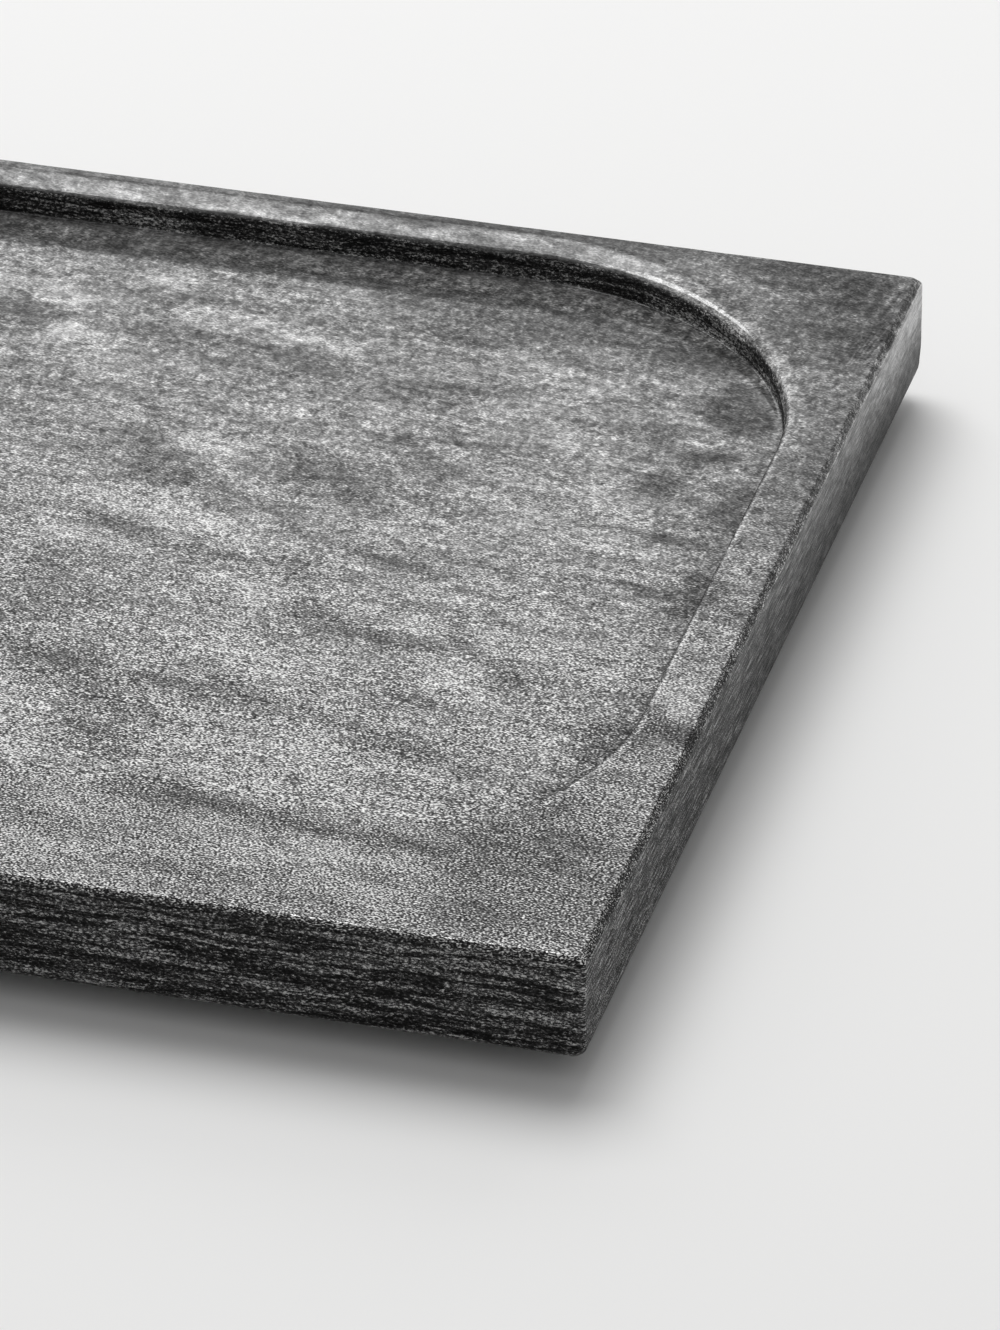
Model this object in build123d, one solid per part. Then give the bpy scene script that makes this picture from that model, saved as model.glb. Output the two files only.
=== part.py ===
from build123d import *
import os

# A free-standing tea tray, carved from one slab of layered stone. Its top has a wide recess with
# round corners. The recess's floor starts level with the front rim and slopes down to a wall along
# the back. Four soft feet under the slab keep it off the table.
# Millimetres, +Z up, the front towards -Y. The origin is on the table, under the middle of the slab.

# Sizes of the slab
slab_length = 500.0
slab_depth = 300.0
slab_thickness = 25.0
upright_edge_radius = 2.0
top_edge_chamfer = 1.5
bottom_edge_radius = 4.0

# Sizes of the recess, from the slab's outer faces to the recess's upright wall
end_rim = 13.5
back_rim = 11.6
front_rim = 24.0
recess_corner_radius = 75.0
recess_lip_radius = 1.2

# The floor: where it meets the level top, from the front face, and how deep it is at the back wall
floor_start = 42.0
recess_depth = 7.75

# Sizes of a foot, a short round bumper that narrows towards the table
foot_diameter = 20.0
foot_tread_diameter = 16.0
foot_height = 4.6
foot_edge_radius = 0.8
foot_inset_x = 36.0
foot_inset_y = 34.0

# The adhesive disc between a foot and the slab
adhesive_diameter = 18.0
adhesive_thickness = 0.4

# How far a cutting shape runs past what it cuts
overrun = 2.0

slab_bottom = foot_height + adhesive_thickness
slab_middle = slab_bottom + slab_thickness / 2
slab_top = slab_bottom + slab_thickness

recess_length = slab_length - 2 * end_rim
recess_width = slab_depth - back_rim - front_rim
recess_middle_y = (front_rim - back_rim) / 2
recess_back_y = slab_depth / 2 - back_rim
floor_start_y = floor_start - slab_depth / 2
floor_slope = recess_depth / (recess_back_y - floor_start_y)


def edge_section(width):
    """The slab's upright section: chamfered at its two top corners, rounded at its two bottom ones."""
    section = Rectangle(width, slab_thickness)
    top_corners = section.vertices().group_by(Axis.Y)[-1]
    section = chamfer(top_corners, top_edge_chamfer)
    bottom_corners = section.vertices().group_by(Axis.Y)[0]
    return fillet(bottom_corners, bottom_edge_radius)


def make_blank():
    """The slab before carving: what its plan and its two upright sections have in common."""
    plan = RectangleRounded(slab_length, slab_depth, upright_edge_radius)
    middle = Pos(0, 0, slab_middle)
    upright = middle * extrude(plan, slab_thickness / 2, both=True)
    seen_from_front = Plane.XZ * edge_section(slab_length)
    seen_from_end = Plane.YZ * edge_section(slab_depth)
    along_depth = middle * extrude(seen_from_front, slab_depth / 2, both=True)
    along_length = middle * extrude(seen_from_end, slab_length / 2, both=True)
    return upright & along_depth & along_length


def make_recess_space():
    """What the carving takes away: a rounded lip and an upright wall, down to the sloping floor."""
    plate_height = recess_depth + overrun
    plate_middle = Pos(0, 0, slab_top - plate_height / 2)
    plate = plate_middle * Box(slab_length, slab_depth, plate_height)
    outline = RectangleRounded(recess_length, recess_width, recess_corner_radius)
    opening = Pos(0, recess_middle_y, slab_top) * extrude(outline, plate_height, dir=(0, 0, -1))
    frame = plate - opening
    lip_edges = frame.faces().sort_by(Axis.Z)[-1].inner_wires()[0].edges()
    frame = fillet(lip_edges, recess_lip_radius)
    end_y = slab_depth / 2 + overrun
    end_z = slab_top - floor_slope * (end_y - floor_start_y)
    floor_line = Plane.YZ * Polyline(
        (floor_start_y, slab_top),
        (end_y, end_z),
        (end_y, slab_top + overrun),
        (floor_start_y, slab_top + overrun),
        close=True,
    )
    above_floor = extrude(make_face(floor_line), slab_length / 2 + overrun, both=True)
    return (plate - frame) & above_floor


def make_foot():
    """A bumper that stands on the origin: a short cone with its lower edge rounded."""
    cone = Pos(0, 0, foot_height / 2) * Cone(foot_tread_diameter / 2, foot_diameter / 2, foot_height)
    tread_edge = cone.edges().group_by(Axis.Z)[0]
    return fillet(tread_edge, foot_edge_radius)


def make_adhesive():
    """A thin disc that lies on a foot which stands on the origin."""
    return Pos(0, 0, foot_height + adhesive_thickness / 2) * Cylinder(
        adhesive_diameter / 2, adhesive_thickness
    )


os.makedirs("parts", exist_ok=True)

tray_slab = make_blank() - make_recess_space()
export_step(tray_slab, "parts/tray_slab.step")

foot = make_foot()
adhesive = make_adhesive()
foot_x = slab_length / 2 - foot_inset_x
foot_y = slab_depth / 2 - foot_inset_y
for row, side_y in (("front", -1), ("back", 1)):
    for end, side_x in (("left", -1), ("right", 1)):
        place = Pos(side_x * foot_x, side_y * foot_y, 0)
        export_step(place * foot, f"parts/foot_{row}_{end}.step")
        export_step(place * adhesive, f"parts/adhesive_{row}_{end}.step")
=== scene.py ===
import math
import bpy
import numpy as np
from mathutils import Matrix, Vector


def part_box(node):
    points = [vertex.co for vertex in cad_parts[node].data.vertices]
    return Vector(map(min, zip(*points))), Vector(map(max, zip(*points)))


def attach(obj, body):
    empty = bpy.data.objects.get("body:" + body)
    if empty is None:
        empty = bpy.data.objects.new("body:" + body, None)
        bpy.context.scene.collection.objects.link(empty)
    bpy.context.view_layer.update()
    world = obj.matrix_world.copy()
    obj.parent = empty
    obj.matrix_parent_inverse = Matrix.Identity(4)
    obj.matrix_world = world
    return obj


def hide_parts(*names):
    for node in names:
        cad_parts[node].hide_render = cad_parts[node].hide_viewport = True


# A stone tea tray on four soft feet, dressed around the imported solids. Everything is in metres, in the
# frame of the solids; the dictionaries below are in millimetres where they say so.

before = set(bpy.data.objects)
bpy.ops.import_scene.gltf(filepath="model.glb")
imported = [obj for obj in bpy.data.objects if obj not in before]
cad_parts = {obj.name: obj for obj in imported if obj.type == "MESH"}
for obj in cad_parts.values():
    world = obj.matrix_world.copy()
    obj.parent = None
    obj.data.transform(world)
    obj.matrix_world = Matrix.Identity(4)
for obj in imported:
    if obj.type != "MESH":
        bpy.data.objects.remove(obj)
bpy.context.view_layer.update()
mm = 0.001
print("frame loaded:", sorted(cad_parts))


# camera, as the photograph was taken

cameraSetup = {
    "azimuth": 15.2195,        # degrees round the tray, 0 looks along +Y
    "elevation": 30.7728,      # degrees above the table
    "distance": 2174.03,       # mm from the aim point
    "aim": (202.59, -41.39, 30.0),  # mm, what the middle of the picture shows
    "focalShare": 7.72062,     # focal length as a share of the picture's long side
    "sensorWidth": 36.0, "clip": (0.05, 50.0),      # mm, and m
}


def makeCamera(setup):
    # the camera sits on a ray from the aim point, turned by azimuth and raised by elevation
    a, e = math.radians(setup["azimuth"]), math.radians(setup["elevation"])
    back = np.array([math.sin(a) * math.cos(e), -math.cos(a) * math.cos(e), math.sin(e)])
    data = bpy.data.cameras.new("photoCamera")
    data.sensor_fit = "AUTO"
    data.sensor_width = setup["sensorWidth"]
    data.lens = setup["focalShare"] * data.sensor_width
    data.clip_start, data.clip_end = setup["clip"]
    camera = bpy.data.objects.new("photoCamera", data)
    camera.location = (np.array(setup["aim"]) + setup["distance"] * back) * mm
    camera.rotation_euler = (math.pi / 2 - e, 0.0, a)
    bpy.context.scene.collection.objects.link(camera)
    bpy.context.scene.camera = camera


makeCamera(cameraSetup)
print("camera placed")


# shader maths: a socket that can be added, multiplied and so on, as a number would be


class Tone:
    def __init__(self, book, socket):
        self.book, self.socket = book, socket

    def maths(self, operation, *others, **settings):
        return self.book.node("ShaderNodeMath", {"operation": operation, **settings}, [self, *others])

    def __add__(self, other):
        return self.maths("ADD", other)

    def __sub__(self, other):
        return self.maths("SUBTRACT", other)

    def __rsub__(self, other):
        return self.book.node("ShaderNodeMath", {"operation": "SUBTRACT"}, [other, self])

    def __mul__(self, other):
        return self.maths("MULTIPLY", other)

    __radd__ = __add__
    __rmul__ = __mul__

    def held(self):
        # kept between 0 and 1
        return self.maths("ADD", 0.0, use_clamp=True)

    def size(self):
        # how far it is from 0
        return self.maths("ABSOLUTE")

    def ramp(self, low, high, fromValue=0.0, toValue=1.0):
        # smooth step: fromValue below low, toValue above high
        given = {0: self, 1: low, 2: high, 3: fromValue, 4: toValue}
        return self.book.node("ShaderNodeMapRange", {"interpolation_type": "SMOOTHSTEP"}, given)


class Book:
    # the node tree of a material or a world, written line by line

    def __init__(self, owner):
        owner.use_nodes = True
        self.owner, self.tree = owner, owner.node_tree
        self.tree.nodes.clear()

    def node(self, kind, settings=None, given=None, out=0):
        # one node; what is given to its inputs is a plain value or a Tone, which is linked
        made = self.tree.nodes.new(kind)
        for key, value in (settings or {}).items():
            setattr(made, key, value)
        pairs = given.items() if isinstance(given, dict) else enumerate(given or [])
        for key, value in pairs:
            if isinstance(value, Tone):
                self.tree.links.new(value.socket, made.inputs[key])
            elif value is not None:
                made.inputs[key].default_value = value
        return Tone(self, made.outputs[out])

    def place(self):
        # the point on the piece, in mm
        where = self.node("ShaderNodeTexCoord", out="Object")
        return self.node("ShaderNodeVectorMath", {"operation": "SCALE"}, {0: where, "Scale": 1.0 / mm})

    def parts(self, vector):
        # its x, y and z
        return [self.node("ShaderNodeSeparateXYZ", given=[vector], out=k) for k in range(3)]

    def attribute(self, name):
        # a value that is stored on the vertices
        return self.node("ShaderNodeAttribute", {"attribute_name": name}, out="Fac")

    def stretched(self, point, sizes, turn=0.0, shift=(0.0, 0.0, 0.0)):
        # the point in cells of the given sizes in mm, turned about Z by some degrees first
        scale = tuple(1.0 / size for size in sizes)
        if turn:
            point = self.node("ShaderNodeMapping", {"vector_type": "POINT"},
                              {0: point, 2: (0.0, 0.0, math.radians(turn))})
        return self.node("ShaderNodeMapping", {"vector_type": "POINT"}, {0: point, 1: shift, 3: scale})

    def noise(self, point, detail=2.0, roughness=0.5, distortion=0.0):
        # smooth noise between 0 and 1, whose cells are one unit wide
        given = {"Vector": point, "Scale": 1.0, "Detail": detail, "Roughness": roughness,
                 "Distortion": distortion}
        return self.node("ShaderNodeTexNoise", {"noise_dimensions": "3D"}, given)

    def mixColour(self, share, first, second):
        # first times 1 - share, plus second times share
        return self.node("ShaderNodeMix", {"data_type": "RGBA"}, {0: share, 6: first, 7: second}, out=2)

    def bump(self, height, distance, strength=1.0):
        # the normal, tilted as if the height times the distance in mm stood on the surface
        given = {"Strength": strength, "Distance": distance * mm, "Height": height}
        return self.node("ShaderNodeBump", {}, given)

    def finish(self, shader, kind="ShaderNodeOutputMaterial"):
        # the shader goes to the output
        out = self.tree.nodes.new(kind)
        self.tree.links.new(shader.socket, out.inputs["Surface"])
        return self.owner


# smooth random values in space, for the stone's relief


def spaceNoise(x, y, z, seed):
    # random numbers on a wrapped lattice, blended with a smooth step between the eight corners of a cell
    cells = 64
    table = np.random.default_rng(seed).random((cells, cells, cells))
    whole = [np.floor(c).astype(int) for c in (x, y, z)]
    part = [c - w for c, w in zip((x, y, z), whole)]
    ease = [p * p * (3 - 2 * p) for p in part]
    total = np.zeros(np.broadcast(x, y, z).shape)
    for corner in range(8):
        step = [(corner >> k) & 1 for k in range(3)]
        place = [(w + s) % cells for w, s in zip(whole, step)]
        share = 1.0
        for e, s in zip(ease, step):
            share = share * (e if s else 1 - e)
        total = total + share * table[place[0], place[1], place[2]]
    return total


def smoothStep(value, low, high):
    # 0 below low and 1 above high, with a cubic between them that is level at both
    t = np.clip((value - low) / (high - low), 0.0, 1.0)
    return t * t * (3 - 2 * t)


# the slab

slabShape = {  # mm
    "length": 500.0, "depth": 300.0, "bottom": 5.0, "top": 30.0,
    "backEdge": 2.0, "backEdgeFoot": 4.5,      # radius of the upright edges at the back, and at their foot
    "frontEdge": 1.0, "frontEdgeFoot": 2.4,    # and of those in front, which are crisper
    "footFrom": 1.0, "footTo": 9.0,            # above the underside, where the one goes over to the other
    "shrink": 0.35, "leastRadius": 0.3,        # how fast these radii shrink on a loop that is set in
    "chamfer": 1.5, "chamferEase": 0.22, "easeTouch": 0.04, "closeLoop": 0.35,
    "bottomRound": 4.0,
    "endRim": 13.5, "backRim": 11.6, "frontRim": 24.0,
    "recessCorner": 75.0, "lip": 1.2, "backLip": 2.2, "cornerLip": 0.9, "wallFoot": 0.7,
    "turnBack": (0.0, 0.6), "turnCorner": (0.85, 0.995),      # how far the wall faces backwards, 1 wholly
    "shoulder": 0.95, "shoulderWidth": 6.3,   # how far the back rim leans into the recess, and how wide
    "leanPower": 1.25,                         # 1 leans evenly, more leans late
    "floorStart": 42.0, "recessDepth": 7.75, "floorEase": 0.12,
    "floorRun": 3.0, "leastDepth": 0.002,      # floor in the lip's section, least depth that has a wall
    "columnsAlongX": 172, "columnsAlongY": 126, "columnsPerCorner": 50,
    "undersideLoops": (144.0, 116.0, 76.0, 36.0, 8.0, 0.4),   # from the rounded lower edge inwards
    "roundLoops": 8, "sideLoops": 18, "rimLoops": 13, "lipLoops": 25, "floorLoops": 47,
    "rimCrowding": 0.8, "floorCrowding": 1.25,                # powers, which draw the loops to the lip
}


def roundedLoop(halfX, halfY, backRadius, frontRadius, middleY, shape):
    # a rectangle with round corners, anticlockwise from the foot of its right side: each straight side and
    # each quarter circle takes a fixed number of steps, so that every loop has the same columns
    nx, ny, nc = (shape[k] for k in ("columnsAlongX", "columnsAlongY", "columnsPerCorner"))
    radii = (backRadius, backRadius, frontRadius, frontRadius)
    xs, ys = [], []
    for side in range(4):
        turn = side * math.pi / 2
        out, half, steps = (halfX, halfY, ny) if side % 2 == 0 else (halfY, halfX, nx)
        before, radius = radii[side - 1], radii[side]
        along = before - half + (2 * half - before - radius) * np.arange(steps) / steps
        cos, sin = round(math.cos(turn)), round(math.sin(turn))
        xs.append(cos * out - sin * along)
        ys.append(sin * out + cos * along)
        angle = turn + np.arange(nc) / nc * math.pi / 2
        cornerX = (halfX - radius) * (1 if side in (0, 3) else -1)
        cornerY = (halfY - radius) * (1 if side in (0, 1) else -1)
        xs.append(cornerX + radius * np.cos(angle))
        ys.append(cornerY + radius * np.sin(angle))
    return np.concatenate(xs), np.concatenate(ys) + middleY


def floorDepth(y, shape):
    # how far the sloping floor lies under the rim: nothing in front of its start, then a steady slope, with
    # the change between them eased
    startY = shape["floorStart"] - shape["depth"] / 2
    backY = shape["depth"] / 2 - shape["backRim"]
    fall = (y - startY) * shape["recessDepth"] / (backY - startY)
    ease = shape["floorEase"]
    return 0.5 * (fall + np.sqrt(fall * fall + ease * ease)) - 0.5 * ease * ease / (np.abs(fall) + ease)


def recessBox(shape):
    # half the length and depth of the recess's outline, and where its middle lies along Y
    halfX = shape["length"] / 2 - shape["endRim"]
    halfY = (shape["depth"] - shape["backRim"] - shape["frontRim"]) / 2
    return halfX, halfY, (shape["frontRim"] - shape["backRim"]) / 2


def recessEdge(x, y, shape):
    # how far a point lies outside the recess's upright wall, negative inside: the distance to a rectangle
    # with round corners; how much the nearest part of that wall belongs to the back, 1, and not to the ends,
    # 0; and how much to the corners between them
    radius = shape["recessCorner"]
    halfX, halfY, middleY = recessBox(shape)
    overX = np.abs(x) - halfX + radius
    overY = np.abs(y - middleY) - halfY + radius
    corner = np.hypot(np.maximum(overX, 0), np.maximum(overY, 0))
    away = corner + np.minimum(np.maximum(overX, overY), 0) - radius
    facing = np.maximum(overY, 0) / np.maximum(corner, 1e-6)
    back = smoothStep(facing, *shape["turnBack"]) * (y > middleY)
    return away, back, back * (1 - smoothStep(facing, *shape["turnCorner"]))


def lipRadius(x, y, shape):
    # the lip's radius, which is larger along the back, and largest round its two corners
    back, corner = recessEdge(x, y, shape)[1:]
    return shape["lip"] + (shape["backLip"] - shape["lip"]) * back + shape["cornerLip"] * corner


def lipPath(run, deep, lip):
    # the section of the recess's edge, as far as run along it: a quarter circle of the lip's radius that
    # stops at the floor where the floor is shallow, else an upright wall below it, then the floor
    turn = np.arccos(np.clip(1 - deep / lip, 0.0, 1.0))
    arc = lip * turn
    wall = np.maximum(deep - lip, 0.0)
    angle = np.clip(run, 0.0, arc) / lip
    down = np.clip(run - arc, 0.0, wall)
    inward = np.maximum(run - arc - wall, 0.0)
    offset = lip * (1 - np.sin(angle)) - inward
    depth = lip * (1 - np.cos(angle)) + down
    return offset, np.minimum(depth, deep)


def recessSection(share, deep, lip, shape):
    # lipPath at a share of its whole length, with its corner at the floor rounded by a parabola
    corner = lip * np.arccos(np.clip(1 - deep / lip, 0.0, 1.0)) + np.maximum(deep - lip, 0.0)
    edge = lipPath(corner, deep, lip)[0]
    whole = corner + edge + shape["floorRun"]
    run = share * whole
    reach = np.minimum(shape["wallFoot"], corner)
    t = np.clip((run - corner + reach) / np.maximum(2 * reach, 1e-9), 0.0, 1.0)
    first, middle, last = (lipPath(corner + k * reach, deep, lip) for k in (-1, 0, 1))
    plain = lipPath(run, deep, lip)
    near = np.abs(run - corner) < reach
    eased = [(1 - t) ** 2 * a + 2 * t * (1 - t) * b + t * t * c for a, b, c in zip(first, middle, last)]
    return tuple(np.where(near, e, p) for e, p in zip(eased, plain))


def slabRings(shape):
    # every loop of the slab, from the middle of the underside, out and up round the edge, over the rim,
    # down the lip and over the floor to its middle; returns x, y, z and the mark of the chamfer
    halfX, halfY = shape["length"] / 2, shape["depth"] / 2
    top, bottom, chamfer, rounded = (shape[k] for k in ("top", "bottom", "chamfer", "bottomRound"))
    rings = []

    def outerRing(inset, z, mark=0.0):
        # a loop of the outside; its corners' radii change with the height and shrink with the inset
        foot = 1 - float(smoothStep(z, bottom + shape["footFrom"], bottom + shape["footTo"]))
        radii = [shape[k] + (shape[k + "Foot"] - shape[k]) * foot for k in ("backEdge", "frontEdge")]
        back, front = (max(radius - shape["shrink"] * inset, shape["leastRadius"]) for radius in radii)
        x, y = roundedLoop(halfX - inset, halfY - inset, back, front, 0.0, shape)
        rings.append((x, y, np.full(x.shape, z), np.full(x.shape, mark)))

    for inward in shape["undersideLoops"]:
        outerRing(rounded + inward, bottom)
    for angle in np.radians(np.linspace(0, 90, shape["roundLoops"])):
        outerRing(rounded * (1 - math.sin(angle)), bottom + rounded * (1 - math.cos(angle)))
    ease = shape["chamferEase"]
    for z in np.linspace(bottom + rounded, top - chamfer - ease, shape["sideLoops"])[1:]:
        outerRing(0.0, z)
    # the chamfer as inset, drop below the top and mark: its upper corner is eased as its lower one is, with
    # inset and drop exchanged
    close = shape["closeLoop"]
    lower = [(shape["easeTouch"], chamfer + ease / 3, 0.6), (ease * 0.45, chamfer - ease * 0.3, 1.0)]
    upper = [(drop, inset, mark) for inset, drop, mark in lower[::-1]]
    for inset, drop, mark in lower + [(close, chamfer - close, 1.0), (chamfer / 2, chamfer / 2, 1.0)] + upper:
        outerRing(inset, top - drop, mark)
    outerRing(chamfer + ease, top)
    outerRing(chamfer + ease + close, top)      # keeps the shading of the top flat up to its edge

    wallX, wallY, middleY = recessBox(shape)

    def recessLoop(offset):
        # the recess's outline, moved outwards by an offset that may differ from column to column
        radius = shape["recessCorner"]
        x, y = roundedLoop(wallX, wallY, radius, radius, middleY, shape)
        x1, y1 = roundedLoop(wallX + 1, wallY + 1, radius + 1, radius + 1, middleY, shape)
        return x + (x1 - x) * offset, y + (y1 - y) * offset

    rimX, rimY = rings[-1][0], rings[-1][1]
    outlineX, outlineY = recessLoop(0.0)
    deep = floorDepth(outlineY, shape)
    back = recessEdge(outlineX, outlineY, shape)[1]
    lean = shape["shoulder"] * back
    lip = lipRadius(outlineX, outlineY, shape)
    lipX, lipY = recessLoop(lip)
    # the back rim leans in before its lip: a power curve, as wide as the shoulder, that fades out where the
    # recess's outline turns away from the back, as the lip's larger radius there does
    for share in np.linspace(0, 1, shape["rimLoops"])[1:-1] ** shape["rimCrowding"]:
        x, y = rimX + (lipX - rimX) * share, rimY + (lipY - rimY) * share
        away, here = recessEdge(x, y, shape)[:2]
        away = away - lipRadius(x, y, shape)
        near = np.clip(1 - away / shape["shoulderWidth"], 0.0, 1.0)
        sunk = shape["shoulder"] * here * near ** shape["leanPower"]
        rings.append((x, y, top - sunk, np.zeros(x.shape)))

    # the lip and the wall: the section's depth is stretched to the floor's own depth at each point
    least = shape["leastDepth"]
    for share in np.linspace(0, 1, shape["lipLoops"]):
        offset, depth = recessSection(np.full(deep.shape, share), deep, lip, shape)
        x, y = recessLoop(offset)
        here = floorDepth(y, shape)
        depth = here * np.where(deep > least, np.clip(depth / np.maximum(deep, least), 0.0, 1.0), 1.0)
        depth = depth + lean * np.clip(1 - depth / np.maximum(here, 1e-9), 0.0, 1.0)
        rings.append((x, y, top - depth, np.zeros(x.shape)))
    edgeX, edgeY = rings[-1][0], rings[-1][1]
    for share in 1 - np.linspace(0, 1, shape["floorLoops"])[1:-1] ** shape["floorCrowding"]:
        x, y = edgeX * share, middleY + (edgeY - middleY) * share
        rings.append((x, y, top - floorDepth(y, shape), np.zeros(x.shape)))
    return [np.array(part) for part in zip(*rings)]


slabRelief = {
    # mm: size along X and Y, size along Z, depth; then the values of the noise between which a cut deepens
    "layer": (34.0, 1.15, 0.30, 0.55, 0.9),     # splits along the layers, on upright faces
    "pit": (3.2, 1.5, 0.10, 0.5, 0.95),
    "chip": (7.0, 4.0, 0.09, 0.45, 0.95),       # small chips along the top edge
    "warp": (30.0, 12.0, 3.0),                  # how the layers wander up and down
    "swell": (32.0, 30.0, 0.035),               # how far from flat the top is
    "endShare": 0.15,                           # how much of the splits and pits the two ends show
    "upright": (0.3, 0.8),                      # how far from level a face is, to be half or wholly upright
}


def closedGrid(x, y, z, name):
    # a grid of rings by columns, closed round the loop and by one vertex at each end
    rings, columns = x.shape
    points = np.stack([x, y, z], -1).reshape(-1, 3)
    ends = np.array([points[:columns].mean(0), points[-columns:].mean(0)])
    points = np.concatenate([points, ends])
    i, j = np.meshgrid(np.arange(rings - 1), np.arange(columns), indexing="ij")
    k = (j + 1) % columns
    quads = np.stack([i * columns + j, i * columns + k, (i + 1) * columns + k, (i + 1) * columns + j], -1)
    j = np.arange(columns)
    k = (j + 1) % columns
    first, last = rings * columns, rings * columns + 1
    under = np.stack([np.full(columns, first), k, j], -1)
    over = np.stack([np.full(columns, last), (rings - 1) * columns + j, (rings - 1) * columns + k], -1)
    corners = np.concatenate([quads.reshape(-1), under.reshape(-1), over.reshape(-1)])
    counts = np.concatenate([np.full(quads[..., 0].size, 4), np.full(2 * columns, 3)])
    starts = np.concatenate([[0], np.cumsum(counts)[:-1]])
    mesh = bpy.data.meshes.new(name)
    mesh.vertices.add(len(points))
    mesh.vertices.foreach_set("co", (points * mm).astype(np.float32).ravel())
    mesh.loops.add(len(corners))
    mesh.loops.foreach_set("vertex_index", corners.astype(np.int32))
    mesh.polygons.add(len(counts))
    mesh.polygons.foreach_set("loop_start", starts.astype(np.int32))
    mesh.update(calc_edges=True)
    mesh.validate()
    mesh.polygons.foreach_set("use_smooth", np.ones(len(mesh.polygons), bool))
    piece = bpy.data.objects.new(name, mesh)
    bpy.context.scene.collection.objects.link(piece)
    return piece


def gridNormals(x, y, z):
    # the grid's outward normals: the cross product of its steps round the loop and from ring to ring
    points = np.stack([x, y, z], -1)
    along = np.roll(points, -1, 1) - np.roll(points, 1, 1)
    across = np.gradient(points, axis=0)
    normal = np.cross(along, across)
    return normal / np.maximum(np.linalg.norm(normal, axis=-1, keepdims=True), 1e-9)


def addAttribute(piece, name, values):
    # one value for each vertex of the grid, and 0 at its two ends
    values = np.append(np.asarray(values).ravel(), [0.0, 0.0])
    attribute = piece.data.attributes.new(name, "FLOAT", "POINT")
    attribute.data.foreach_set("value", values.astype(np.float32))


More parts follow.
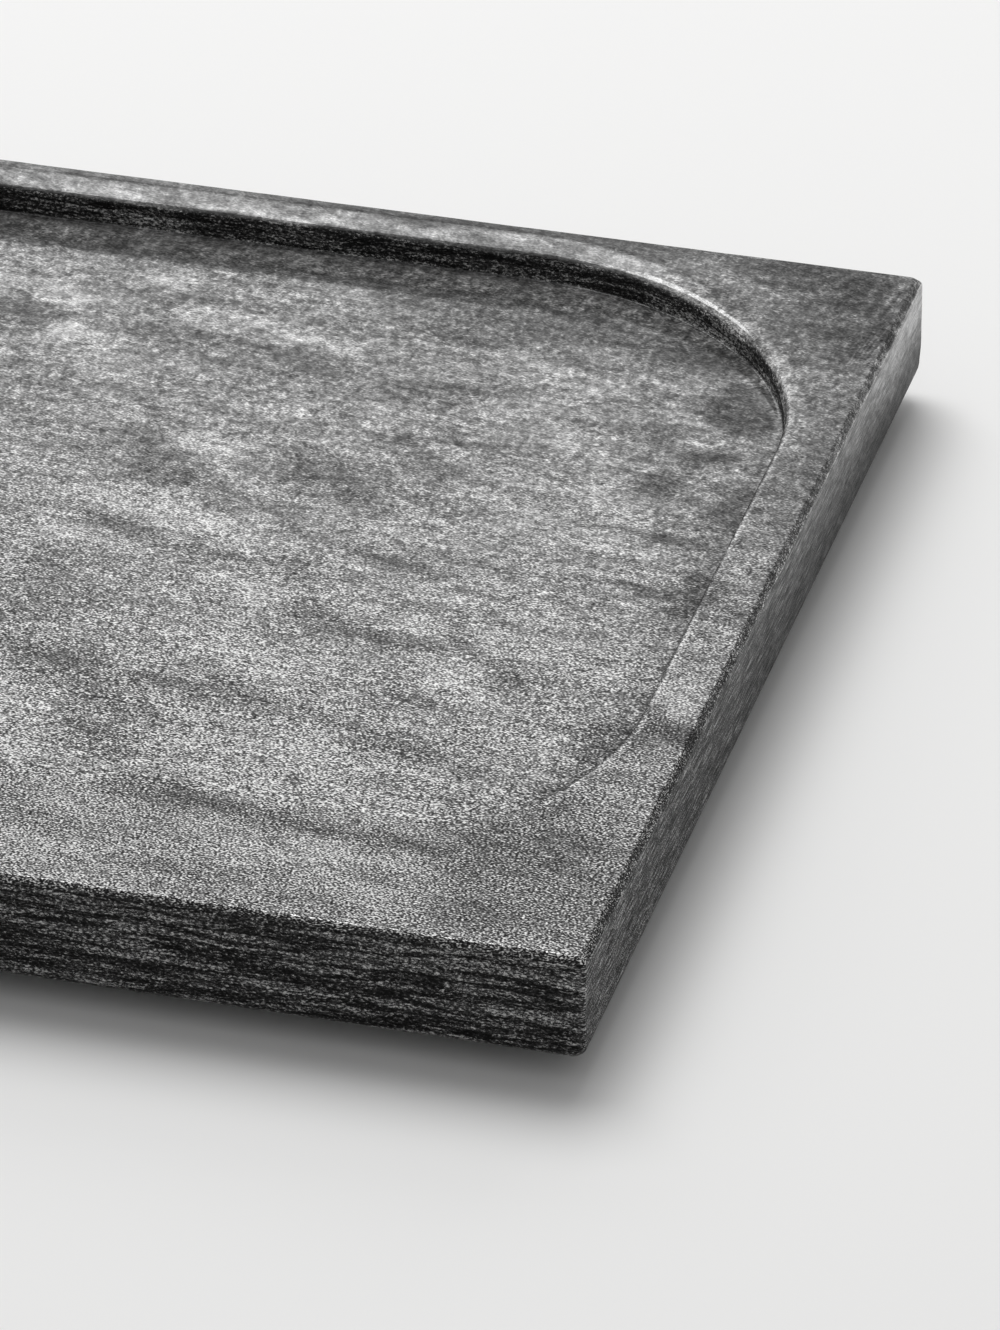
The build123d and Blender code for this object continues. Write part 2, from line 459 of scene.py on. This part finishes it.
# the patches that stand out on the top: middle x and y, half length and half width in mm, degrees, strength
patchesAndPaintedLight = [
    (108, 100, 28, 4.5, -3, 0.22), (118, 94, 15, 4, 0, 0.15), (66, 87, 7, 8, 0, 0.31),
    (74, 77, 10, 5, -40, 0.15), (62, 102, 9, 6, 0, 0.22), (80, 113, 9, 3.5, 0, 0.08),
    (112, 41, 9, 6, -10, 0.28), (112, 9, 40, 6, -17, 0.14), (120, 5, 8, 5, 0, 0.14),
    (142, 108, 9, 3.5, 20, 0.17), (190, 64, 10, 5, 0, 0.1), (166, 71, 12, 7, 30, 0.12),
    (181, 90, 9, 12, 0, 0.1), (138, -19, 16, 4.5, -35, 0.12), (152, -48, 22, 8, 8, 0.12),
    (135, -36, 12, 5, 0, 0.09), (186, -30, 11, 3.2, -36, 0.17), (196, -46, 11, 7, -20, 0.14),
    (113, -90, 5, 13, -15, 0.19), (165, -86, 22, 12, 0, 0.06), (178, -101, 24, 7, 0, 0.05),
    (170, -123, 30, 6, 5, 0.14), (208, -113, 8, 3, 0, 0.1), (243, -44, 6, 10, 0, 0.17),
    (241, 15, 4, 10, -15, 0.19), (215, 19, 9, 3.5, -8, 0.15), (135, 62, 22, 6, 0, 0.09),
    (200, 30, 14, 18, 0, 0.03), (100, 91, 32, 3.8, -3, -0.23), (156, 83, 12, 3, 12, -0.26),
    (150, 76, 10, 5, 15, -0.18), (120, 82, 24, 8, 0, -0.14), (174, 57, 10, 2.6, -2, -0.25),
    (156, 55, 4, 8, 0, -0.18), (162, 43, 3, 11, 32, -0.21), (100, 38, 6, 10, 10, -0.25),
    (111, 24, 14, 5.5, -14, -0.32), (146, 31, 16, 7.5, -32, -0.22), (128, 38, 12, 6, 0, -0.07),
    (166, 2, 16, 2.4, -8, -0.25), (187, -6, 11, 2.6, -22, -0.23), (106, -1, 12, 3.4, -20, -0.18),
    (132, -7, 18, 2.6, -5, -0.19), (162, -28, 14, 5, -14, -0.28), (180, -35, 13, 3.2, -8, -0.23),
    (195, -33, 23, 2.6, -44, -0.26), (207, -46, 5, 3.5, 0, -0.25), (148, -65, 24, 3.2, -6, -0.35),
    (111, -60, 11, 11, 0, -0.25), (126, -76, 17, 11, -30, -0.18), (187, -59, 13, 4.5, 30, -0.21),
    (193, -78, 20, 6, -14, -0.26), (129, -92, 14, 6, -40, -0.19), (151, -109, 15, 5.5, 0, -0.32),
    (190, -114, 28, 3.4, -5, -0.26), (140, -127, 22, 4, 4, -0.12), (168, -136, 24, 3.4, 3, -0.19),
    # the dark patches on the floor beside the recess's right wall, from about x 205 mm to the wall, are
    # painted shade
    (231, -122, 24, 26, 0, -0.21), (97, -32, 13, 22, 0, -0.12), (222, 93, 9, 9, 0, -0.35),
    (227, 84, 7, 5, 0, -0.53), (223, 66, 7, 5, 8, -0.53), (214, 50, 4.5, 8, -10, -0.4),
    (208, 73, 7, 5, 0, -0.18), (232, 44, 4.5, 13, 0, -0.31), (221, 25, 10, 2.2, -6, -0.26),
    (221, 3, 12, 2.4, -18, -0.35), (233, 8, 4, 6, 0, -0.31), (233, -3, 4, 5, 0, -0.35),
    (232, -64, 5, 15, -10, -0.26), (228, -90, 6, 6, 35, -0.2), (245, -58, 10, 3, -9, -0.6),
    (240, 131, 6, 3, -20, -0.55), (246, 121, 4, 7, 0, -0.55), (236, 118, 6, 3, 10, -0.35),
    (243, 109, 5, 3.5, 0, -0.35), (232, 145, 26, 4, 0, -0.4), (226, 138, 8, 2.6, 0, -0.3),
    (241, 139, 7, 3, -10, -0.4), (247, 62, 4, 20, 0, -0.1), (244, -28, 5, 22, 0, 0.05),
    (222, 55, 5, 16, 0, -0.16), (222, 24, 6, 4, 0, -0.2), (238, 128, 14, 20, 0, -0.14),
    (150, -40, 60, 18, 0, -0.03), (170, -118, 50, 8, 0, -0.05), (178, 117, 42, 7, -8, -0.26),
    # the pale line at x 85, y 140.5 mm is a painted highlight along the back lip
    (158, 108, 20, 5, 0, -0.19), (85, 140.5, 42, 2.6, 0, 0.2), (184, 104, 6, 4, 0, -0.21),
    (100, 107, 32, 2.6, 0, -0.18), (150, 147, 60, 3, 0, -0.26), (209, 110, 13, 8, -30, -0.32),
    (165, -132, 55, 11, 0, 0.1), (140, 0, 90, 60, 0, 0.03),
]


patchEdges = {
    "broad": (15.0, 8.0, 5.0), "fine": (6.0, 4.0, 7.0),   # mm: size along X and Y, how far it moves a point
    "seeds": (31, 33), "shareY": 0.7,
    "fade": (0.45, 1.35),                                 # in radii: a patch is whole inside, gone outside
}


def patchTone(x, y, patches, edges):
    # a sum of soft ellipses; each falls from its strength to nothing as a smooth step of its own radius. The
    # point is moved first by two sizes of noise, which makes their edges ragged
    flat = np.zeros(x.shape)

    def shift(seed):
        # the sum of both sizes of noise about 0, each times how far it moves a point
        total = 0.0
        for k, (sizeX, sizeY, far) in enumerate((edges["broad"], edges["fine"])):
            total = total + far * (spaceNoise(x / sizeX, y / sizeY, flat, seed + k) - 0.5)
        return total

    moves = [shift(seed) for seed in edges["seeds"]]
    x, y = x + moves[0], y + edges["shareY"] * moves[1]
    total = flat
    for middleX, middleY, longHalf, wideHalf, degrees, strength in patches:
        turn = math.radians(degrees)
        along = (x - middleX) * math.cos(turn) + (y - middleY) * math.sin(turn)
        across = (y - middleY) * math.cos(turn) - (x - middleX) * math.sin(turn)
        radii = np.hypot(along / longHalf, across / wideHalf)
        total = total + strength * (1 - smoothStep(radii, *edges["fade"]))
    return total


wildLook = {  # patches of the same kind at random places, for the part that the photograph leaves out
    "count": 170, "seed": 21,
    "x": (-250, 60), "y": (-150, 150), "long": (6, 30), "wide": (2.4, 7.5),   # mm, from and to
    "degrees": (-10, 14),                                                    # middle and spread
    "strength": (-0.3, 0.22),
}


def wildStains(look):
    # each value is drawn evenly between its two limits, and the degrees as a bell curve
    rng = np.random.default_rng(look["seed"])
    x, y, long, wide = (rng.uniform(*look[k], look["count"]) for k in ("x", "y", "long", "wide"))
    degrees = rng.normal(*look["degrees"], look["count"])
    return np.stack([x, y, long, wide, degrees, rng.uniform(*look["strength"], look["count"])], -1)


edgePaint = {
    # strength, then middle and width of a bell curve, in mm outside the recess's upright wall
    # endLip, cornerLip, cornerRim and backFoot are painted highlights; endFoot and endFloor are painted shade
    "endLip": (0.75, 1.2, 0.5), "endFoot": (-0.4, -0.5, 0.6), "endFloor": (-0.12, -2.5, 3.0),
    "cornerLip": (1.0, 0.2, 1.8), "cornerRim": (0.7, 2.4, 1.8), "backFoot": (0.45, -1.2, 1.8),
    "endsFrom": (-112.0, -82.0), "shadeFrom": (-108.0, -82.0),   # mm along Y, where the ends' paint comes in
    "shade": -0.09, "shadeFade": (0.5, 11.0),                    # painted shade: a dark zone on the floor along the ends
    "band": -1.3, "bandStart": (9.5, 12.0), "bandEnd": (13.2, 15.2),   # painted reflection and shadow of the wall: a dark band on the floor at the back
    "wall": -0.5, "wallHalf": 0.5, "wallDrop": 2.5, "footDrop": 4.0,   # painted shade on the back wall, and how far down
    "ragged": (3.0, 0.3, 1.2, 41),                  # mm, least share, more by noise, seed
    "edgeGlint": (0.9, 0.08, 0.16),                    # painted highlight: a pale line, in mm above the chamfer's lower edge
    "arris": (0.6, -1.5, 0.12),                     # painted highlight: a pale line in front, in mm outside the slab's face
    "frontDepth": 2.5,                              # mm behind the front face, as far as that line goes
    # where the patches and the painted shade are left out: on the outer sides, in mm inside the slab's faces
    # and below its top
    "sideInset": 1.6, "sideDrop": (1.0, 2.0),
    # where the floor is: mm inside the recess's wall, and mm along Y
    "floorEdge": (0.0, 1.5), "floorFront": (-126.0, -96.0),
}


def bell(value, strength, middle, width):
    # a bell curve: its strength at its middle, about a third of that one width away
    return strength * np.exp(-((value - middle) / width) ** 2)


def outsideSlab(x, y, shape):
    # how far a point lies outside the slab's faces, negative inside
    return np.maximum(np.abs(x) - shape["length"] / 2, np.abs(y) - shape["depth"] / 2)


def endShade(x, y, shape, paint):
    # painted shade: the floor's dark zone along the two ends of the recess, which fades with the distance
    # from the wall
    away, back = recessEdge(x, y, shape)[:2]
    fade = 1 - smoothStep(-away, *paint["shadeFade"])
    return paint["shade"] * fade * (away < 0) * (1 - back) * smoothStep(y, *paint["shadeFrom"])


def paintedEdgeLight(x, y, z, shape, paint):
    # painted light and shade: along both ends of the recess, a thin pale line on the lip, a painted
    # highlight, and a thin dark one at the foot of the wall, painted shade
    away, back, corner = recessEdge(x, y, shape)
    size, least, more, seed = paint["ragged"]
    ragged = least + more * spaceNoise(x / size, y / size, np.zeros(x.shape), seed)
    ends = bell(away, *paint["endLip"]) + bell(away, *paint["endFoot"]) + bell(away, *paint["endFloor"])
    ends = ends * ragged * (1 - back) * smoothStep(y, *paint["endsFrom"])
    # round the corners at the back, a pale lip, which is a painted highlight
    lip = (bell(away, *paint["cornerLip"]) + bell(away, *paint["cornerRim"]) * (away > 0)) * corner
    # along the back, the floor: a painted highlight at the foot of the wall, then a dark band of painted
    # reflection and shadow; and the wall itself, darker with painted shade
    band = smoothStep(-away, *paint["bandStart"]) * (1 - smoothStep(-away, *paint["bandEnd"]))
    foot = bell(away, *paint["backFoot"]) * (z < shape["top"] - paint["footDrop"])
    floor = (foot + paint["band"] * band) * (back - corner)
    wall = paint["wall"] * (np.abs(away) < paint["wallHalf"]) * (z < shape["top"] - paint["wallDrop"]) * back
    # along the chamfer, painted highlights: a pale line on its lower edge, and in front on its upper edge
    out = outsideSlab(x, y, shape)
    low = shape["top"] - shape["chamfer"]
    front = y < paint["frontDepth"] - shape["depth"] / 2
    edgeGlint = bell(z - low, *paint["edgeGlint"]) * (out > -shape["chamfer"]) * (1 - front)
    return ends + lip + floor + wall + edgeGlint + bell(out, *paint["arris"]) * front * (z > low)


def floorShare(x, y, shape, paint):
    # 1 on the recess's floor and 0 on the rims
    away = recessEdge(x, y, shape)[0]
    return smoothStep(-away, *paint["floorEdge"]) * smoothStep(y, *paint["floorFront"])


def makeSlab(shape, relief, paint):
    # the loops as one grid, moved inwards along the normal by the splits, pits, chips and swells
    x, y, z, mark = slabRings(shape)
    normal = gridNormals(x, y, z)
    upright = smoothStep(1 - np.abs(normal[..., 2]), *relief["upright"])
    across = np.abs(normal[..., 1])             # 1 on the front, the back and the recess's back wall

    def rough(name, seed, lift=0.0):
        # depth times noise, or times a smooth step of the noise between its limits
        size, height, depth = relief[name][:3]
        value = spaceNoise(x / size, y / size, (z + lift) / height, seed)
        limits = relief[name][3:]
        return depth * (smoothStep(value, *limits) if limits else value)

    cuts = rough("layer", 5, rough("warp", 3)) + rough("pit", 7)
    share = relief["endShare"] + (1 - relief["endShare"]) * across
    inward = upright * share * cuts + mark * rough("chip", 9)
    inward = inward + (1 - upright) * rough("swell", 11) * (z > (shape["bottom"] + shape["top"]) / 2)
    x, y, z = (c - inward * normal[..., k] for k, c in enumerate((x, y, z)))
    z = np.minimum(z, shape["top"])
    slab = closedGrid(x, y, z, "tray_slab_stone")
    patches = patchesAndPaintedLight + wildStains(wildLook).tolist()
    # the patches' tone, and the painted shade on the floor along the recess's ends
    stain = patchTone(x, y, patches, patchEdges) + endShade(x, y, shape, paint)
    side = (outsideSlab(x, y, shape) > -paint["sideInset"]) * smoothStep(shape["top"] - z, *paint["sideDrop"])
    addAttribute(slab, "edgeMark", mark)
    addAttribute(slab, "stain", stain * (1 - side))
    # the painted highlights, shade and reflection along the recess's edges and the chamfer
    addAttribute(slab, "lineMark", paintedEdgeLight(x, y, z, shape, paint))
    addAttribute(slab, "floorMark", floorShare(x, y, shape, paint))
    return slab


slab = makeSlab(slabShape, slabRelief, edgePaint)
print("slab:", len(slab.data.polygons), "faces")


# the stone

stoneLook = {
    "albedo": 0.088, "mostAlbedo": 0.75,    # of the middle tone, and the most that a pale flake has
    "tint": (1.0, 0.995, 0.985, 1.0),
    "roughness": 0.7, "index": 1.2,
    "polish": 0.50,                  # how much of the surface has a shine
    "sheenRoughness": 0.11, "sheenIndex": 1.8,
    "bump": 0.16,                    # mm
    "grainBump": 0.5, "seamBump": 0.6,

    # noises: size in mm along X, Y and Z, detail, roughness, distortion, degrees by which it is turned
    "cloud": (52.0, 24.0, 10.0, 3.0, 0.5, 0.3, 8.0),
    "patch": (15.0, 6.5, 3.0, 4.0, 0.6, 0.5, 10.0),
    "streak": (11.0, 3.0, 1.3, 3.0, 0.6, 0.4, 7.0),
    "vein": (26.0, 8.0, 4.0, 3.0, 0.6, 0.9, 12.0),      # thin pale and dark lines that wander over the top
    "calm": (20.0, 10.0, 5.0, 3.0, 0.6, 0.6, -12.0),    # patches where the grain fades
    "grain": (2.6, 1.3, 0.6, 2.0, 0.65, 0.3, 0.0),
    "dust": (0.66, 0.42, 0.24, 0.0, 0.5, 0.0, 6.0),
    "sand": (0.5, 0.28, 0.2, 0.0, 0.5, 0.0, -5.0),
    "thread": (2.8, 1.5, 0.7, 2.0, 0.55, 0.8, 12.0),
    "blot": (1.7, 2.6, 1.0, 1.0, 0.6, 0.0, 4.0),        # soft spots that stand out at the back
    "frontGrain": (0.95, 0.95, 0.42, 2.0, 0.85, 0.3, 0.0),    # on the front and back, and the wall
    "frontStreak": (7.0, 7.0, 0.8, 2.0, 0.6, 0.2, 0.0),
    "endGrain": (1.0, 9.0, 0.38, 3.0, 0.75, 0.0, 0.0),  # on the two end faces
    "endShift": (7.0, 0.0, 0.0),
    "layer": (46.0, 46.0, 2.6, 2.0, 0.5, 0.0, 0.0),
    "bend": (45.0, 45.0, 20.0, 2.0, 0.5, 0.0, 0.0),

    # strengths in front and behind: the grain stands out in front and is softer behind
    "near": -150.0, "far": 110.0,    # mm along Y
    "grainPower": (3.5, 1.8), "dustPower": (10.8, 2.6), "sandPower": (11.0, 0.6), "blotPower": (0.0, 3.8),
    "flakeLift": (0.27, 0.1), "flakeBend": 0.08,
    "frontGrainPower": 19.0, "frontStreakPower": 5.0,
    "endGrainPower": (16.0, 3.0), "endFar": 150.0, "endDustPower": (8.0, 0.5), "endDustFar": 60.0,
    "raggedness": 4.0, "patchPower": 2.4, "spread": 1.1, "cloudPower": 0.5,
    "edgeGrain": 0.4, "shineGrain": 0.5,

    # thin lines: the value of the noise that they follow, and how thin they are
    "paleVein": 0.06, "darkVein": -0.05, "veinSharpness": 22.0, "veinPower": 0.3,
    "threadAt": 0.01, "threadSharpness": 14.0, "threadMean": 0.35,
    "seamSharpness": 11.0, "seamPower": 2.2, "bendHeight": 5.0,

    # limits of the faces: the normal's size upwards and sideways, then mm along X and along Y
    "uprightTurn": (0.85, 0.35), "sidewaysTurn": (0.3, 0.6),
    "endFrom": (248.4, 249.6), "frontFrom": (-146.0, -148.0),

    # smooth steps: low and high limit, the value below and the value above
    "mottle": (-1.9, 1.7, -1.35, 1.15), "calmGrain": (-0.18, 0.12, 0.85, 1.1),
    "softBack": (125.0, 142.0, 0.0, 0.35), "softLeft": (215.0, 175.0, 0.0, 1.0),
    # the pale limits below shape a painted reflection on the end faces and on the chamfer above them
    "paleBack": (-100.0, 150.0, 0.1, 1.35), "paleCorner": (110.0, 140.0, 0.0, 0.35),
    "paleTop": (8.0, 30.0, 0.0, 1.15), "paleEdge": (-90.0, 90.0, 0.0, 1.2),

    # tones that are added on each face, as natural logarithms
    # the tone on the chamfer at the two ends and in front is painted shade
    "frontTone": 0.1, "endTone": -0.3, "edgeTone": -0.45, "chamferShade": -0.55, "rimTone": -0.25,
    "uprightShine": -0.5, "endShine": -0.2, "edgeShine": -0.5,
}


def thinLine(value, level, sharpness):
    # 1 where the value passes the level, and evenly down to 0 on both sides of it
    return (1.0 - (value - level).size() * sharpness).held()


def makeStone(look):
    # the tone is a sum of mottling, painted highlights, painted shade and painted reflection, flakes, seams
    # and what each face adds, as a natural logarithm: the colour is the middle albedo times its exponent, and
    # nearly the same sum gives the shine
    book = Book(bpy.data.materials.new("layered_stone"))
    point = book.place()
    along, depth, height = book.parts(point)
    facing = book.parts(book.node("ShaderNodeNewGeometry", out="Normal"))
    marks = ("edgeMark", "stain", "lineMark", "floorMark")
    edge, stain, line, floor = (book.attribute(name) for name in marks)
    upright = facing[2].size().ramp(*look["uprightTurn"])
    end = upright * along.size().ramp(*look["endFrom"])
    front = upright - end
    sideways = facing[0].size().ramp(*look["sidewaysTurn"])
    # the chamfer's part at the two ends and in front, which is darkened with painted shade
    side = edge * sideways + edge * depth.ramp(*look["frontFrom"]) * (1.0 - sideways)

    def noise(name, where=point, shift=(0.0, 0.0, 0.0)):
        # the named noise, about 0
        *sizes, detail, roughness, distortion, turn = look[name]
        return book.noise(book.stretched(where, sizes, turn, shift), detail, roughness, distortion) - 0.5

    def byDepth(name):
        # from the strength in front to the strength behind
        return depth.ramp(look["near"], look["far"], *look[name])

    # mottling: broad clouds, patches with ragged edges, and veins
    patches, streaks, veins = noise("patch"), noise("streak"), noise("vein")
    ragged = stain * (look["patchPower"] + (patches + streaks) * look["raggedness"])
    spread = ragged + (patches + streaks) * look["spread"]
    veined = thinLine(veins, look["paleVein"], look["veinSharpness"])
    veined = veined - thinLine(veins, look["darkVein"], look["veinSharpness"])
    mottle = spread.ramp(*look["mottle"]) + veined * look["veinPower"]
    mottle = mottle + noise("cloud") * look["cloudPower"] + (1.0 - floor) * look["rimTone"]

    # grain on the top: crystals, dust, sand and blots, with pale threads
    dust = noise("dust")
    flakes = noise("grain") * byDepth("grainPower") + dust * byDepth("dustPower")
    flakes = flakes + noise("sand") * byDepth("sandPower") + noise("blot") * byDepth("blotPower")
    threads = thinLine(noise("thread"), look["threadAt"], look["threadSharpness"])
    flakes = flakes + threads - look["threadMean"]
    flakes = flakes - flakes * flakes * look["flakeBend"] + byDepth("flakeLift")

    # grain on the front and the back, then on the ends
    frontFlakes = noise("frontGrain") * look["frontGrainPower"]
    frontFlakes = frontFlakes + noise("frontStreak") * look["frontStreakPower"]
    endFlakes = noise("endGrain", shift=look["endShift"])
    endFlakes = endFlakes * depth.ramp(look["near"], look["endFar"], *look["endGrainPower"])
    endFlakes = endFlakes + dust * depth.ramp(look["near"], look["endDustFar"], *look["endDustPower"])

    light = flakes + (frontFlakes - flakes) * front
    calm = noise("calm").ramp(*look["calmGrain"])
    # the back rim's left part has less grain
    softer = depth.ramp(*look["softBack"]) * along.ramp(*look["softLeft"]) * (1.0 - upright)
    light = (light + (endFlakes - light) * end) * calm * (1.0 - softer)

    # layers: thin dark seams that wander up and down along the upright faces
    bend = (noise("bend") + 0.5) * look["bendHeight"]
    lift = book.node("ShaderNodeCombineXYZ", {}, [0.0, 0.0, bend])
    bent = book.node("ShaderNodeVectorMath", {"operation": "ADD"}, [point, lift])
    seam = thinLine(noise("layer", bent), 0.0, look["seamSharpness"]) * (patches + 1.0) * front

    # painted reflection: the end faces are paler towards the back and the top, and so is the chamfer above
    # them
    pale = (depth.ramp(*look["paleBack"]) + depth.ramp(*look["paleCorner"])) * height.ramp(*look["paleTop"])
    pale = pale * end + depth.ramp(*look["paleEdge"]) * edge * sideways

    common = mottle + line - seam * look["seamPower"] + side * look["chamferShade"] + pale
    tone = common + light * (1.0 + edge * look["edgeGrain"])
    tone = tone + front * look["frontTone"] + end * look["endTone"] + edge * look["edgeTone"]
    albedo = (tone.maths("EXPONENT") * look["albedo"]).maths("MINIMUM", look["mostAlbedo"])
    colour = book.mixColour(albedo, (0.0, 0.0, 0.0, 1.0), look["tint"])
    gloss = common + light * look["shineGrain"]
    gloss = gloss + upright * look["uprightShine"] + end * look["endShine"] + edge * look["edgeShine"]
    shine = (gloss.maths("EXPONENT") * look["polish"]).held()

    relief = light * look["grainBump"] - seam * look["seamBump"]
    given = {"Base Color": colour, "Roughness": look["roughness"], "IOR": look["index"], "Coat Weight": shine,
             "Coat Roughness": look["sheenRoughness"], "Coat IOR": look["sheenIndex"],
             "Normal": book.bump(relief, look["bump"])}
    return book.finish(book.node("ShaderNodeBsdfPrincipled", {}, given))


slab.data.materials.append(makeStone(stoneLook))
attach(slab, "root")
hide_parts("tray_slab")
print("stone done")


# the feet and their adhesive discs

footShape = {  # mm
    "radius": 10.0, "tread": 8.0, "height": 4.6, "edge": 0.8,
    "dish": 0.5, "dishRadius": 5.2, "dishEdge": 0.3,           # hollow in the tread
    "collar": 0.7,                                             # upright band under the adhesive
    "collarFoot": ((0.45, -0.15), (0.35, 0.0), (0.0, 0.12)),   # in from the radius, up from its lower edge
    "topEdge": 0.15, "topLoops": (0.4, 5.0),                   # how far its upper edge is cut off
    "dishLoops": 8, "edgeLoops": 6, "edgeTurn": 75.0,          # degrees by which the tread's edge turns
    "columns": 72,
}


def footProfile(shape):
    # radius and height from the middle of the tread, out over its rounded edge, up the cone and its collar,
    # and in over the top
    radius, height, edge, cut = (shape[k] for k in ("radius", "height", "edge", "topEdge"))
    dish, flat = shape["dishRadius"], shape["tread"] - edge
    shares = np.linspace(0, 1, shape["dishLoops"] + 1)[1:]
    points = [(dish * share, shape["dish"] * (1 - share * share)) for share in shares]
    points += [(dish + shape["dishEdge"], 0.0), (flat, 0.0)]
    for bend in np.radians(np.linspace(0, shape["edgeTurn"], shape["edgeLoops"] + 1)[1:]):
        points.append((flat + edge * math.sin(bend), edge * (1 - math.cos(bend))))
    points += [(radius - inset, height - shape["collar"] + up) for inset, up in shape["collarFoot"]]
    points += [(radius, height - cut), (radius - cut, height)]
    points += [(radius - inset, height) for inset in shape["topLoops"]]
    return np.array(points)


def makeFoot(name, centre, shape):
    # the profile turned round the foot's upright axis
    profile = footProfile(shape)
    angle = np.arange(shape["columns"]) / shape["columns"] * 2 * math.pi
    x = centre[0] + profile[:, :1] * np.cos(angle)
    y = centre[1] + profile[:, :1] * np.sin(angle)
    z = np.broadcast_to(profile[:, 1:], x.shape)
    return closedGrid(x, y, z, name)


softLook = {
    # noises: size in mm along X, Y and Z, detail, roughness
    "skin": (0.35, 0.35, 0.35, 2.0, 0.6), "dust": (5.0, 5.0, 5.0, 3.0, 0.6),
    "bubble": (0.8, 0.8, 0.4, 2.0, 0.6),
    # how much of the second colour shows: low and high limit of a smooth step, value below and above
    "dustShown": (0.5, 0.8, 0.0, 0.5), "bubbleShown": (0.45, 0.7, 0.0, 1.0),
    "silicone": ((0.018, 0.018, 0.019, 1.0), (0.07, 0.068, 0.064, 1.0)),
    "film": ((0.50, 0.48, 0.42, 1.0), (0.62, 0.60, 0.55, 1.0)),
    "siliconeRoughness": (0.5, 0.25), "filmRoughness": (0.25, 0.2),     # least, and more by the noise
    "skinBump": (0.02, 0.5), "bubbleBump": (0.03, 0.4),                 # mm, and its strength
}


def makeSoft(name, colourNoise, shown, colours, roughness, bumpNoise, bump):
    # a colour between two by a smooth step of noise, and a roughness that rises evenly with the same noise
    book = Book(bpy.data.materials.new(name))
    point = book.place()
    noises = (colourNoise, bumpNoise)
    spots, skin = (book.noise(book.stretched(point, values[:3]), *values[3:]) for values in noises)
    colour = book.mixColour(spots.ramp(*shown), *colours)
    least, more = roughness
    given = {"Base Color": colour, "Roughness": least + spots * more, "Normal": book.bump(skin, *bump)}
    return book.finish(book.node("ShaderNodeBsdfPrincipled", {}, given))


# black silicone with a fine skin, greyer and rougher where dust clings to it
silicone = makeSoft("foot_silicone", *(softLook[k] for k in (
    "dust", "dustShown", "silicone", "siliconeRoughness", "skin", "skinBump")))
# clear film on stone, paler and rougher where small bubbles are caught under it
adhesive = makeSoft("adhesive_film", *(softLook[k] for k in (
    "bubble", "bubbleShown", "film", "filmRoughness", "bubble", "bubbleBump")))
for corner in ("front_left", "front_right", "back_left", "back_right"):
    low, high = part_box("foot_" + corner)
    middle = (np.array(low) + np.array(high)) / 2 / mm
    foot = makeFoot("foot_" + corner + "_bumper", middle, footShape)
    foot.data.materials.append(silicone)
    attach(foot, "root")
    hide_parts("foot_" + corner)
    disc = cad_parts["adhesive_" + corner]
    disc.data.materials.clear()
    disc.data.materials.append(adhesive)
print("feet done")


# the table, the lamps and the air around

studio = {
    "tableSeen": (0.845, 0.844, 0.84, 1.0),  # the table's colour to the camera
    "tableLit": (0.80, 0.80, 0.798, 1.0),    # and to everything else
    "tableSize": 14.0, "tableRoughness": 0.9,    # m
    "airDiffuse": 0.42,                      # light from all round
    "airShown": 1.0,                         # what the camera and gloss see beyond the table
    "lamps": {
        # direction from the tray, distance, width and height in m, radiance
        "key_softbox": ((-0.232, 0.442, 0.867), 4.0, 2.7, 2.7, 4.2),
        "back_panel": ((-0.20, 0.86, 0.45), 4.0, 4.6, 1.4, 1.3),
    },
}


def makeTable(setup):
    # one flat square under the feet
    half = setup["tableSize"] / 2
    corners = [(-half, -half, 0.0), (half, -half, 0.0), (half, half, 0.0), (-half, half, 0.0)]
    mesh = bpy.data.meshes.new("table_top")
    mesh.from_pydata(corners, [], [(0, 1, 2, 3)])
    table = bpy.data.objects.new("table_top", mesh)
    bpy.context.scene.collection.objects.link(table)
    book = Book(bpy.data.materials.new("table_paper"))
    seen = book.node("ShaderNodeLightPath", out="Is Camera Ray")
    colour = book.mixColour(seen, setup["tableLit"], setup["tableSeen"])
    given = {"Base Color": colour, "Roughness": setup["tableRoughness"]}
    mesh.materials.append(book.finish(book.node("ShaderNodeBsdfPrincipled", {}, given)))


def makeLamp(name, direction, distance, width, height, radiance):
    # a rectangle of even light that faces the tray; its power in watts is four times radiance times area
    data = bpy.data.lights.new(name, "AREA")
    data.shape, data.size, data.size_y = "RECTANGLE", width, height
    data.energy = radiance * 4 * width * height
    lamp = bpy.data.objects.new(name, data)
    way = np.array(direction) / np.linalg.norm(direction)
    lamp.location = way * distance
    flat = math.hypot(way[0], way[1])
    lamp.rotation_euler = (math.atan2(flat, way[2]), 0.0, math.atan2(way[1], way[0]) + math.pi / 2)
    lamp.visible_camera = False
    bpy.context.scene.collection.objects.link(lamp)


def makeAir(setup):
    # white to the camera, to gloss and to what is seen through, and a lower even light to the rest
    world = bpy.data.worlds.new("studio_air")
    bpy.context.scene.world = world
    book = Book(world)
    rays = ("Is Camera Ray", "Is Glossy Ray", "Is Transmission Ray")
    camera, glossy, through = (book.node("ShaderNodeLightPath", out=ray) for ray in rays)
    seen = (camera + glossy + through).held()
    level = setup["airDiffuse"] + seen * (setup["airShown"] - setup["airDiffuse"])
    air = book.node("ShaderNodeBackground", given={"Strength": level})
    book.finish(air, "ShaderNodeOutputWorld")


makeTable(studio)
for name, values in studio["lamps"].items():
    makeLamp(name, *values)
makeAir(studio)
bpy.context.scene.view_settings.view_transform = "Standard"
print("studio done")
